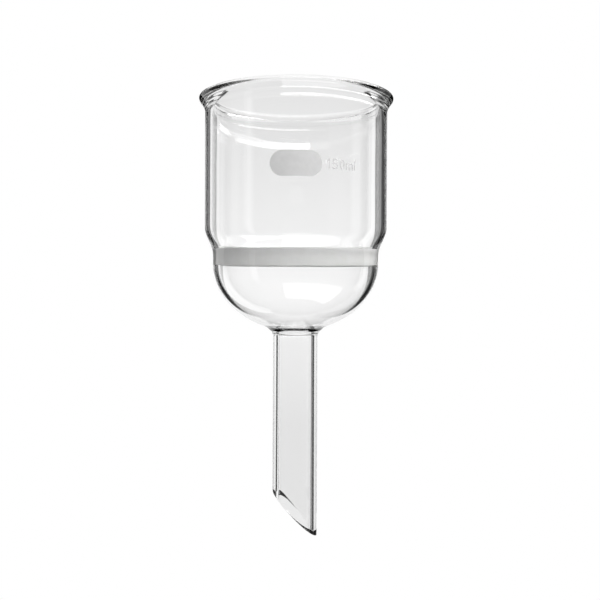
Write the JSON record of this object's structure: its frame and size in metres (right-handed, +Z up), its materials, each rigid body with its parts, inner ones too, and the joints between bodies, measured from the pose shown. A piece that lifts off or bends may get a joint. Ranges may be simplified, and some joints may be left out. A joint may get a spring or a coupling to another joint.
{
  "type": "buchner funnel",
  "caption": "Clear glass vacuum filter funnel: straight chamber with a beaded rim, sintered glass disc fused in its neck, round bottom and a slant-cut stem.",
  "frame": {"origin": "on the funnel's axis, where the stem is sealed to the round bottom and a stopper or filter adapter grips it", "axes": "+Z up along the axis, from the stem to the rim; -Y out of the front, which bears the writing patch; +X towards the low side of the slanted tip"},
  "size_m": [0.071, 0.071, 0.161],
  "materials": {
    "clear_glass": "polished",
    "sintered_glass": "matte",
    "white_enamel": "satin"
  },
  "bodies": {
    "root": {"upper_chamber": "clear_glass", "lower_bowl": "clear_glass", "stem_tube": "clear_glass", "filter_disc": "sintered_glass", "writing_patch": "white_enamel", "mark_digit_1": "white_enamel", "mark_digit_5": "white_enamel", "mark_digit_0": "white_enamel", "mark_letter_m": "white_enamel", "mark_letter_l": "white_enamel"}
  },
  "joints": []
}
